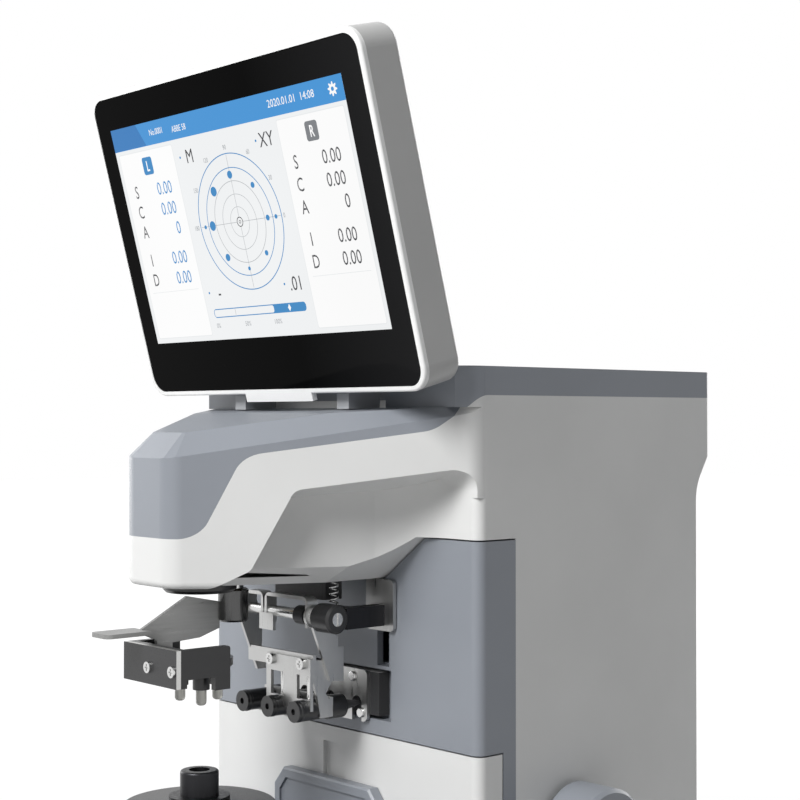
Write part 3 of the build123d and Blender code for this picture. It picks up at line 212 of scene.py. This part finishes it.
def glowing(name, colour, strength=0.96, drift=0.015):
    """A lit part of the screen's picture under the gloss of its glass."""
    made, tree, shader, place = new_material(name)
    slow = noise(tree, place, GLOW_SCALE, 1.0)
    tone = tint(tree, slow, scaled(colour, 1 - drift), scaled(colour, 1 + drift))
    tree.links.new(tone, shader.inputs["Emission Color"])
    shader.inputs["Emission Strength"].default_value = strength
    shader.inputs["Base Color"].default_value = (0.004, 0.004, 0.004, 1)
    shader.inputs["Roughness"].default_value = 0.12
    shader.inputs["Specular IOR Level"].default_value = 0.2
    return made


def circuit(name, colour):
    """Solder mask with a faint pattern of tracks."""
    made, tree, shader, place = new_material(name)
    cells = tree.nodes.new("ShaderNodeTexVoronoi")
    cells.feature = "DISTANCE_TO_EDGE"
    cells.inputs["Scale"].default_value = TRACKS_SCALE
    tree.links.new(place, cells.inputs["Vector"])
    distance = cells.outputs["Distance"]
    tree.links.new(tint(tree, distance, scaled(colour, 1.8), colour), shader.inputs["Base Color"])
    shader.inputs["Roughness"].default_value = 0.4
    bump(tree, distance, shader, 0.3, TRACKS_DEPTH)
    return made


white = moulded("white_plastic", (0.70, 0.70, 0.69), 0.42, coat=0.12)
slate = moulded("slate_plastic", (0.245, 0.262, 0.292), 0.42, relief=0.3, coat=0.06)
silver = moulded("silver_plastic", (0.46, 0.46, 0.455), 0.36, grain=4200.0, coat=0.15)
rim_white = moulded("rim_white", (0.86, 0.86, 0.85), 0.30, relief=0.12, coat=0.25)
grey = moulded("grey_plastic", (0.36, 0.37, 0.385), 0.42)
black = moulded("black_plastic", (0.010, 0.010, 0.011), 0.34, relief=0.2, coat=0.1)
gloss_black = metal("black_chrome", (0.10, 0.10, 0.10), 0.24, ALONG_Z)
black_matt = moulded("black_matt", (0.010, 0.010, 0.011), 0.55, relief=0.45)
switch = moulded("switch_plastic", (0.018, 0.018, 0.019), 0.2, relief=0.05, coat=0.5)
felt = moulded("felt", (0.012, 0.012, 0.014), 0.95, grain=1500.0, relief=1.0, drift=0.3, sheen=0.4)
rubber = moulded("rubber", (0.02, 0.02, 0.02), 0.8, grain=1800.0, relief=0.5)
bronze = metal("bronze", (0.42, 0.29, 0.13), 0.32, ALONG_Z)
satin = metal("satin_steel", (0.42, 0.415, 0.41), 0.36, ALONG_Z)
satin_strip = metal("satin_strip", (0.50, 0.50, 0.495), 0.34, ALONG_Z, relief=0.06, contrast=0.97)
satin_arm = metal("satin_arm", (0.30, 0.30, 0.295), 0.34, ALONG_Y, relief=0.15)
bright = metal("bright_steel", (0.66, 0.66, 0.655), 0.20, ALONG_X)
bright_rod = metal("bright_rod", (0.66, 0.66, 0.655), 0.20, ALONG_Z)
anodised = metal("anodised", (0.035, 0.035, 0.038), 0.38, ALONG_Z)
slate_metal = moulded("slate_metal", (0.22, 0.235, 0.265), 0.38)
# The screen's glass has a painted reflection: its colour lightens along x from 0.0008 to 0.012.
dark_glass = screen_glass("dark_glass", 0.02, 0.09, 0.0008, 0.012)
clear_glass = glassy("clear_glass", (0.9, 0.94, 0.95), 0.03, 0.95, 0.5)
soft_tip = glassy("soft_tip", (0.60, 0.59, 0.55), 0.32, 0.45, 0.5)
painted_plate = two_faced("painted_plate", (0.012, 0.012, 0.013), (0.55, 0.55, 0.54))
board = circuit("board", (0.012, 0.10, 0.045))

# The finish of each node
finishes = {
    "main_housing": white, "lower_front_cover": white, "stage_housing": white,
    "top_cover": slate, "front_panel": slate, "stage_deck": slate, "base_plate": slate,
    "rear_panel": slate_metal, "chassis_plate": slate_metal,
    "display_rim": rim_white, "display_shell": silver, "display_back_cover": silver,
    "display_glass": dark_glass, "screen_module": black_matt, "display_board": board,
    "hinge_brackets": grey, "hinge_pins": bright,
    "holder_frame": black, "holder_front_plate": painted_plate, "holder_arm": satin_arm,
    "holder_barrel": gloss_black, "holder_plunger": bright_rod, "holder_screws": bright,
    "holder_tips": soft_tip, "marker_shaft": bright, "marker_end_knob": black,
    "marker_frame": satin_strip, "marker_hoops": satin_strip, "marker_pens": black,
    "pen_nibs": felt, "marker_screws": bright, "marker_carriage": anodised,
    "marker_slide_plate": satin_strip, "marker_guide_rod": bright_rod, "marker_block": black_matt,
    "marker_spring": bright_rod, "ink_pad": felt, "ink_plate": satin_strip,
    "light_ring": black, "window_glass": clear_glass, "collimator_tube": anodised,
    "light_board": board, "stage_disc": black, "nosepiece": anodised,
    "imaging_barrel": anodised, "imaging_lens": clear_glass, "sensor_board": board,
    "main_board": board, "power_supply": satin, "feet": rubber, "guide_bushes": bronze,
    "lens_table": slate, "table_carriage": anodised, "table_guide": satin,
    "pinion_shaft": bright, "table_knobs": slate, "power_inlet": black_matt,
    "switch_frame": black_matt, "power_switch": switch, "data_ports": satin,
}
for node_name, finish in finishes.items():
    mesh = nodes[node_name].data
    mesh.materials.clear()
    mesh.materials.append(finish)


# Mesh helpers
def piece(name, work, material, body):
    """Makes an object from finished mesh work, which rides on a body."""
    mesh = bpy.data.meshes.new(name)
    work.to_mesh(mesh)
    work.free()
    mesh.materials.append(material)
    made = bpy.data.objects.new(name, mesh)
    bpy.context.scene.collection.objects.link(made)
    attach(made, body)


def slab(work, points, low, high):
    """A closed slab from a flat outline, between two depths along local y."""
    below = [work.verts.new((x, low, z)) for x, z in points]
    above = [work.verts.new((x, high, z)) for x, z in points]
    work.faces.new(below)
    work.faces.new(list(reversed(above)))
    for k in range(len(points)):
        following = (k + 1) % len(points)
        work.faces.new((below[following], below[k], above[k], above[following]))


def around(centre, radius, angle):
    """The point at an angle round a centre."""
    return centre[0] + radius * math.cos(angle), centre[1] + radius * math.sin(angle)


def circle(centre, radius, count):
    """Points round a circle."""
    return [around(centre, radius, FULL_TURN * k / count) for k in range(count)]


# The screen's picture, drawn in the display's own upright frame and then leaned with it
LEAN = 15.0
SCREEN_LEFT = -77.3
SCREEN_TOP = 111.6
SCREEN_WIDTH = 152.6
DOTS_ACROSS = 800
DOTS_DOWN = 480
DOT = SCREEN_WIDTH / DOTS_ACROSS
GLASS_FACE = -19.85
LAYER = 0.02
LAYER_OVERLAP = 0.008
CAPITAL_SHARE = 0.7
WELD = 0.001
hinge = Matrix.Translation(Vector(joints["display_tilt"]["pos_m"]))
to_display = hinge @ Matrix.Rotation(math.radians(LEAN), 4, "X") @ Matrix.Scale(MM, 4)

paper = glowing("screen_paper", (0.865, 0.88, 0.89))
card = glowing("screen_card", (0.965, 0.965, 0.965))
edge = glowing("screen_edge", (0.80, 0.82, 0.83))
bar_blue = glowing("screen_bar", (0.045, 0.285, 0.66))
bar_dark = glowing("screen_bar_dark", (0.025, 0.19, 0.50))
blue = glowing("screen_blue", (0.035, 0.24, 0.54))
badge = glowing("screen_badge", (0.20, 0.21, 0.225))
ink = glowing("screen_ink", (0.05, 0.052, 0.058))
line = glowing("screen_line", (0.38, 0.40, 0.42))
shine = glowing("screen_white", (0.95, 0.95, 0.95))
layers = {}


def at(s, t):
    """A screen dot's place in the display's frame."""
    return SCREEN_LEFT + s * DOT, SCREEN_TOP - t * DOT


def layer_work(finish, level):
    """The mesh work of the layer that has this colour and level."""
    key = (finish.name, level)
    if key not in layers:
        layers[key] = (bmesh.new(), finish)
    return layers[key][0]


def layer_depths(level):
    """The front and back of a layer, whose back reaches into the layer below."""
    top = GLASS_FACE - LAYER * level
    return top - LAYER, top + LAYER_OVERLAP


def draw(finish, level, outline):
    """Adds a flat shape, given in screen dots, to the layer of its colour."""
    slab(layer_work(finish, level), [at(s, t) for s, t in outline], *layer_depths(level))


def rounded(s0, t0, s1, t1, corner):
    """The outline of a rectangle with round corners."""
    corners = (
        (s1 - corner, t0 + corner, -90), (s1 - corner, t1 - corner, 0),
        (s0 + corner, t1 - corner, 90), (s0 + corner, t0 + corner, 180),
    )
    points = []
    for s, t, start in corners:
        points += [around((s, t), corner, math.radians(start + 15 * k)) for k in range(7)]
    return points


def ring(finish, level, centre, radius, width, count=96):
    """A thin ring, as a band of short pieces."""
    outer = circle(centre, radius + width / 2, count)
    inner = circle(centre, radius - width / 2, count)
    for k in range(count):
        following = (k + 1) % count
        draw(finish, level, [outer[k], outer[following], inner[following], inner[k]])


def bar(finish, level, s0, t0, s1, t1):
    """A straight-edged rectangle."""
    draw(finish, level, [(s0, t0), (s1, t0), (s1, t1), (s0, t1)])


def word(finish, level, text, s, t, height, narrow, align="CENTER", weight=0.0):
    """Letters centred on t, placed by their middle, left or right end at s."""
    curve = bpy.data.curves.new("letters", "FONT")
    curve.body = text
    curve.align_x = align
    curve.size = height / CAPITAL_SHARE * DOT
    curve.offset = weight * DOT
    curve.resolution_u = 3
    made = bpy.data.objects.new("letters", curve)
    bpy.context.scene.collection.objects.link(made)
    bpy.context.view_layer.update()
    mesh = bpy.data.meshes.new_from_object(made.evaluated_get(bpy.context.evaluated_depsgraph_get()))
    bpy.data.objects.remove(made)
    letters = bmesh.new()
    letters.from_mesh(mesh)
    bpy.data.meshes.remove(mesh)
    bmesh.ops.transform(letters, matrix=Matrix.Diagonal((narrow, 1, 1, 1)), verts=letters.verts)
    bmesh.ops.remove_doubles(letters, verts=letters.verts, dist=WELD)
    grown = bmesh.ops.extrude_face_region(letters, geom=letters.faces[:])
    upper = {v for v in grown["geom"] if isinstance(v, bmesh.types.BMVert)}
    x, z = at(s, t + height / 2)
    front, back = layer_depths(level)
    for v in letters.verts:
        v.co = (x + v.co.x, front if v in upper else back, z + v.co.y)
    flat = bpy.data.meshes.new("flat")
    letters.to_mesh(flat)
    letters.free()
    layer_work(finish, level).from_mesh(flat)
    bpy.data.meshes.remove(flat)


# Screen header, in screen dots
HEADER_HEIGHT = 49
HEADER_TAG = [(0, 0), (99, 0), (126, 48), (0, 48)]
HEADER_WORDS = (
    ("No.0001", 172, 23, 13, 0.80), ("ABBE 58", 257, 27, 13, 0.78),
    ("2020.01.01  14:08", 640, 23, 15, 0.95),
)
GEAR = (768.5, 24)
GEAR_TEETH = 8
GEAR_TIP = 13.5
GEAR_ROOT = 9.0
GEAR_EYE = 4.2
bar(paper, 0, 0, 0, DOTS_ACROSS, DOTS_DOWN)
bar(bar_blue, 1, 0, 0, DOTS_ACROSS, HEADER_HEIGHT)
draw(bar_dark, 2, HEADER_TAG)
for text, s, t, height, narrow in HEADER_WORDS:
    word(shine, 3, text, s, t, height, narrow)
gear = []
for k in range(4 * GEAR_TEETH):
    reach = GEAR_TIP if k % 4 in (0, 1) else GEAR_ROOT
    gear.append(around(GEAR, reach, FULL_TURN * k / (4 * GEAR_TEETH)))
draw(shine, 3, gear)
draw(bar_blue, 4, circle(GEAR, GEAR_EYE, 15))

# Screen cards with the readings of the left and the right lens
CARD_SPANS = ((12, 217), (584, 789))
CARD_TOP = 58
CARD_BOTTOM = 468
CARD_EDGE = 1.6
RULE = 366
RULE_INSET = 14
RULE_HALF = 0.6
BADGE = 90.5
BADGE_HALF_WIDTH = 18.5
BADGE_HALF_HEIGHT = 19
LETTER_HEIGHT = 22
READING_HEIGHT = 27
READING_WEIGHT = 0.1
READINGS = (
    ("S", 142, "0.00"), ("C", 186, "0.00"), ("A", 230, "0"), ("I", 293, "0.00"), ("D", 337, "0.00"),
)
LENSES = ((114.5, 50, 187, blue, blue, "L"), (685, 618, 756, badge, ink, "R"))
for left, right in CARD_SPANS:
    outer = (left - CARD_EDGE, CARD_TOP - CARD_EDGE, right + CARD_EDGE, CARD_BOTTOM + CARD_EDGE)
    draw(edge, 1, rounded(*outer, 5))
    draw(card, 2, rounded(left, CARD_TOP, right, CARD_BOTTOM, 4))
    bar(edge, 3, left + RULE_INSET, RULE - RULE_HALF, right - RULE_INSET, RULE + RULE_HALF)
for middle, row_s, value_s, badge_colour, value_colour, letter in LENSES:
    low_corner = (middle - BADGE_HALF_WIDTH, BADGE - BADGE_HALF_HEIGHT)
    high_corner = (middle + BADGE_HALF_WIDTH, BADGE + BADGE_HALF_HEIGHT)
    draw(badge_colour, 3, rounded(*low_corner, *high_corner, 6))
    word(shine, 4, letter, middle, BADGE, LETTER_HEIGHT, 0.72, weight=0.5)
    for row, t, value in READINGS:
        word(ink, 3, row, row_s, t, READING_HEIGHT, 0.80, weight=READING_WEIGHT)
        word(value_colour, 3, value, value_s, t, READING_HEIGHT, 0.86, "RIGHT", READING_WEIGHT)

# Screen labels, each with a blue dot
LABELS = ((274, 88, "M", 240), (541, 87, "XY", 507), (541, 375, ".01", 503), (276, 378, "-", 239))
LABEL_HEIGHT = 29
LABEL_DOT = 2.6
for s, t, text, dot_s in LABELS:
    word(ink, 1, text, s, t, LABEL_HEIGHT, 0.86)
    draw(blue, 1, circle((dot_s, t), LABEL_DOT, 16))

# Screen dial: rings, cross lines, eye, spots and numbers
DIAL = (400, 239)
RINGS = ((140, 2.0, blue), (111, 1.7, blue), (84, 1.2, line), (57, 1.0, line), (31, 0.9, line))
EYE_RINGS = ((9.5, 1.8, 48), (3.0, 1.2, 24))
CROSS_GAP = 11
CROSS_REACH = 137
HAIR_HALF = 0.5
SPOTS = (
    (399, 142, 8.2), (332.4, 169.7, 10.2), (467.6, 170.4, 6.2), (494.4, 239.2, 6.0), (521.6, 239.4, 4.6),
    (303.6, 239.1, 10.2), (277.4, 239.5, 4.2), (333, 308, 7.8), (466.6, 308.5, 5.6), (398.7, 335.7, 4.2),
)
DIAL_NUMBERS = (
    (400, 86, "90"), (474, 104, "60"), (529, 162, "30"), (549, 239, "0"),
    (327, 104, "120"), (270, 161, "150"), (246, 239, "180"),
)
SMALL_HEIGHT = 10
for radius, width, colour in RINGS:
    ring(colour, 1, DIAL, radius, width)
dial_s, dial_t = DIAL
for near, far in ((-CROSS_REACH, -CROSS_GAP), (CROSS_GAP, CROSS_REACH)):
    bar(line, 1, dial_s - HAIR_HALF, dial_t + near, dial_s + HAIR_HALF, dial_t + far)
    bar(line, 1, dial_s + near, dial_t - HAIR_HALF, dial_s + far, dial_t + HAIR_HALF)
for radius, width, count in EYE_RINGS:
    ring(ink, 2, DIAL, radius, width, count)
for s, t, radius in SPOTS:
    draw(blue, 3, circle((s, t), radius, 32))
for s, t, text in DIAL_NUMBERS:
    word(line, 3, text, s, t, SMALL_HEIGHT, 0.8)

# Screen gauge: blue trough, pale fill, tick, white mark and percentages
GAUGE = 423
TROUGH_SPAN = (241, 558)
TROUGH_HALF = 9.5
FILL_SPAN = (243, 452)
FILL_HALF = 7.5
TICK = 318.7
TICK_HALF = 6
MARK = 504
MARK_HALF = 5
PERCENTAGES = ((248, "0%"), (354, "50%"), (457, "100%"))
PERCENTAGES_T = 449
draw(blue, 1, rounded(TROUGH_SPAN[0], GAUGE - TROUGH_HALF, TROUGH_SPAN[1], GAUGE + TROUGH_HALF, 8))
draw(paper, 2, rounded(FILL_SPAN[0], GAUGE - FILL_HALF, FILL_SPAN[1], GAUGE + FILL_HALF, 5))
bar(line, 3, TICK - HAIR_HALF, GAUGE - TICK_HALF, TICK + HAIR_HALF, GAUGE + TICK_HALF)
mark_ends = [(MARK, GAUGE - FILL_HALF), (MARK + MARK_HALF, GAUGE)]
mark_ends += [(MARK, GAUGE + FILL_HALF), (MARK - MARK_HALF, GAUGE)]
draw(shine, 3, mark_ends)
for s, text in PERCENTAGES:
    word(line, 1, text, s, PERCENTAGES_T, SMALL_HEIGHT, 0.85)

for (colour_name, level), (work, finish) in layers.items():
    bmesh.ops.transform(work, matrix=to_display, verts=work.verts)
    bmesh.ops.recalc_face_normals(work, faces=work.faces)
    piece(f"{colour_name}_{level}", work, finish, "display")

# Small trim, in millimetres: plate screws, collars on the pens and posts in the pen bracket
FRONT_TO_BACK = (0, 1, 0)
UPRIGHT = (0, 0, 1)
SIDES = 40
SOFT_RIM = 0.3
PLATE_SCREWS = ((14.3, 174.8), (19.4, 160.9), (-19.4, 174.8))
PLATE_SCREW_RADIUS = 1.9
PLATE_SCREW_LENGTH = 1.2
PLATE_SCREW_LIFT = 0.3
COLLAR_RADIUS = 4.25
COLLAR_LENGTH = 1.6
COLLAR_INSET = 2.0
POST_RADIUS = 1.1
POST_LENGTH = 11.2
POST_OFFSET = 0.6
POST_Y = -38.4
POST_Z = 173.5


def turned(place, axis, radius, length):
    """Mesh work of a short round bar with softened rims, centred on a place and lying along an axis."""
    work = bmesh.new()
    radius_m = radius * MM
    bmesh.ops.create_cone(
        work, cap_ends=True, segments=SIDES, radius1=radius_m, radius2=radius_m, depth=length * MM
    )
    caps = [face for face in work.faces if len(face.verts) == SIDES]
    rims = list({rim for face in caps for rim in face.edges})
    bmesh.ops.bevel(work, geom=rims, offset=SOFT_RIM * MM, segments=3, affect="EDGES", profile=0.5)
    turn = Vector((0, 0, 1)).rotation_difference(Vector(axis)).to_matrix().to_4x4()
    bmesh.ops.transform(work, matrix=Matrix.Translation(Vector(place) * MM) @ turn, verts=work.verts)
    for face in work.faces:
        face.smooth = len(face.verts) < SIDES
    return work


plate_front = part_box("ink_plate")[0].y / MM
for number, (x, z) in enumerate(PLATE_SCREWS):
    place = (x, plate_front - PLATE_SCREW_LIFT, z)
    work = turned(place, FRONT_TO_BACK, PLATE_SCREW_RADIUS, PLATE_SCREW_LENGTH)
    piece(f"plate_screw_{number}", work, bright, "body")

pens_low, pens_high = (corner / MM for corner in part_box("marker_pens"))
pen_radius = (pens_high.z - pens_low.z) / 2
pen_z = (pens_high.z + pens_low.z) / 2
pen_pitch = pens_high.x - pen_radius
for number, x in enumerate((-pen_pitch, 0.0, pen_pitch)):
    work = turned((x, pens_low.y + COLLAR_INSET, pen_z), FRONT_TO_BACK, COLLAR_RADIUS, COLLAR_LENGTH)
    piece(f"pen_cap_{number}", work, black, "marker_arm")
for number, x in enumerate((POST_OFFSET, POST_OFFSET + pen_pitch)):
    work = turned((x, POST_Y, POST_Z), UPRIGHT, POST_RADIUS, POST_LENGTH)
    piece(f"bracket_post_{number}", work, bright_rod, "marker_arm")

# Studio: a floor and a world that show as white, with the floor's shadow kept
FLOOR_REACH = 6.0
FLOOR_TONE = 0.45
FLOOR_SHADOWED = 0.38
GLOW_NEAR = 0.4
GLOW_FAR = 1.8
GLOW_NEAR_STRENGTH = 1.3
GLOW_FAR_STRENGTH = 1.62
WORLD_COLOUR = (0.93, 0.96, 1.0, 1)
WORLD_STRENGTH = 0.14


def joined(tree, operation, first, second):
    """A math node on two sources, of which the second may be a plain number."""
    node = tree.nodes.new("ShaderNodeMath")
    node.operation = operation
    tree.links.new(first, node.inputs[0])
    if isinstance(second, float):
        node.inputs[1].default_value = second
    else:
        tree.links.new(second, node.inputs[1])
    return node.outputs[0]


def show_white(tree, shadowed, usual, shown, surface):
    """Lets the camera, gloss and glass see the shown shader, less the shadowed share of it."""
    path = tree.nodes.new("ShaderNodeLightPath").outputs
    direct = joined(tree, "MAXIMUM", path["Is Camera Ray"], path["Is Glossy Ray"])
    seen = joined(tree, "MAXIMUM", direct, path["Is Transmission Ray"])
    mix = tree.nodes.new("ShaderNodeMixShader")
    tree.links.new(joined(tree, "MULTIPLY", seen, 1.0 - shadowed), mix.inputs["Fac"])
    tree.links.new(usual, mix.inputs[1])
    tree.links.new(shown, mix.inputs[2])
    tree.links.new(mix.outputs["Shader"], surface)


floor_mesh = bpy.data.meshes.new("floor")
floor_corners = [(x * FLOOR_REACH, y * FLOOR_REACH, 0) for x, y in ((-1, -1), (1, -1), (1, 1), (-1, 1))]
floor_mesh.from_pydata(floor_corners, [], [(0, 1, 2, 3)])
floor = bpy.data.objects.new("floor", floor_mesh)
bpy.context.scene.collection.objects.link(floor)
floor_paint, tree, shader, place = new_material("floor_paint")
shader.inputs["Base Color"].default_value = (FLOOR_TONE, FLOOR_TONE, FLOOR_TONE, 1)
shader.inputs["Roughness"].default_value = 0.9
away = tree.nodes.new("ShaderNodeVectorMath")
away.operation = "LENGTH"
tree.links.new(place, away.inputs[0])
rise = remapped(tree, away.outputs["Value"], GLOW_NEAR, GLOW_FAR, GLOW_NEAR_STRENGTH, GLOW_FAR_STRENGTH)
glow = tree.nodes.new("ShaderNodeEmission")
tree.links.new(rise, glow.inputs["Strength"])
surface = tree.nodes["Material Output"].inputs["Surface"]
show_white(tree, FLOOR_SHADOWED, shader.outputs["BSDF"], glow.outputs["Emission"], surface)
floor_mesh.materials.append(floor_paint)

world = bpy.data.worlds.new("studio")
bpy.context.scene.world = world
world.use_nodes = True
tree = world.node_tree
plain = tree.nodes["Background"]
plain.inputs["Color"].default_value = WORLD_COLOUR
plain.inputs["Strength"].default_value = WORLD_STRENGTH
backdrop = tree.nodes.new("ShaderNodeBackground")
backdrop.inputs["Color"].default_value = (1, 1, 1, 1)
surface = tree.nodes["World Output"].inputs["Surface"]
show_white(tree, 0.0, plain.outputs["Background"], backdrop.outputs["Background"], surface)

# Lamps: soft squares aimed at the middle of the object, each with its place, side and power
MIDDLE = Vector((0.0, -0.02, 0.24))
LAMPS = {
    "key": ((0.24, -1.55, 1.47), 0.9, 46.0),
    "left_fill": ((-1.6, -0.3, 0.6), 1.0, 9.0),
    "back_fill": ((-0.3, 1.8, 0.9), 1.2, 16.0),
}
for name, (place, size, power) in LAMPS.items():
    light = bpy.data.lights.new(name, "AREA")
    light.shape = "SQUARE"
    light.size = size
    light.energy = power
    lamp = bpy.data.objects.new(name, light)
    lamp.location = place
    lamp.rotation_mode = "QUATERNION"
    lamp.rotation_quaternion = (MIDDLE - Vector(place)).to_track_quat("-Z", "Y")
    bpy.context.scene.collection.objects.link(lamp)

# Camera
CAMERA_PLACE = (0.51305, -0.4270, 0.2772)
CAMERA_PITCH = 90.655
CAMERA_TURN = 48.73
CAMERA_LENS = 73.03
camera_data = bpy.data.cameras.new("camera")
camera_data.sensor_width = 36.0
camera_data.lens = CAMERA_LENS
camera = bpy.data.objects.new("camera", camera_data)
camera.location = CAMERA_PLACE
camera.rotation_euler = (math.radians(CAMERA_PITCH), 0.0, math.radians(CAMERA_TURN))
bpy.context.scene.collection.objects.link(camera)
bpy.context.scene.camera = camera
bpy.context.scene.view_settings.view_transform = "Standard"
